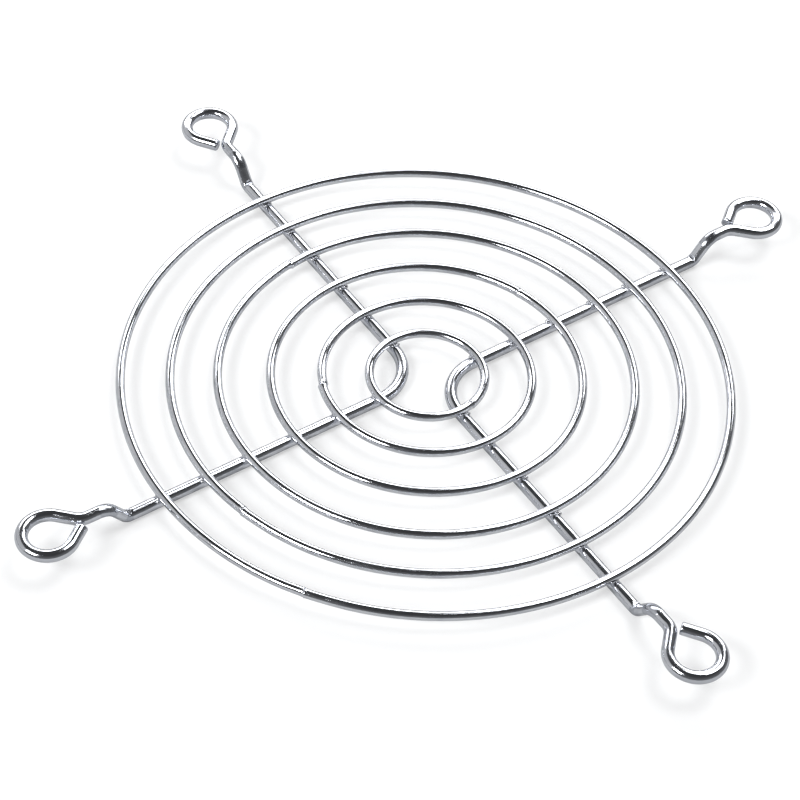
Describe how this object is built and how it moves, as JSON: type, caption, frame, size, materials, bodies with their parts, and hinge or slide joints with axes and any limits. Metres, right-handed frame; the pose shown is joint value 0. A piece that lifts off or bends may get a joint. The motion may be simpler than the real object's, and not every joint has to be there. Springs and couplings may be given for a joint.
{
  "type": "wire fan guard",
  "caption": "Round wire finger guard for a square-framed axial fan: concentric rings welded across two bent carrier wires that end in raised screw eyes.",
  "frame": {"origin": "on the fan's axis, in the plane that the carrier wires lie on: the bottom centre of the guard's box", "axes": "+Z is the fan's axis, from the carrier wires up past the rings to the screw eyes; X and Y run along the sides of the square of screw holes, and each carrier bends round the X axis"},
  "size_m": [0.091, 0.091, 0.005],
  "materials": {
    "ring_wire": "bright nickel-chrome plating over drawn steel wire",
    "carrier_wire": "bright nickel-chrome plating over drawn steel wire, with faint tool marks at the bends"
  },
  "bodies": {
    "root": {"ring_1": "ring_wire", "ring_2": "ring_wire", "ring_3": "ring_wire", "ring_4": "ring_wire", "ring_5": "ring_wire", "ring_6": "ring_wire", "carrier_left": "carrier_wire", "carrier_right": "carrier_wire"}
  },
  "joints": []
}
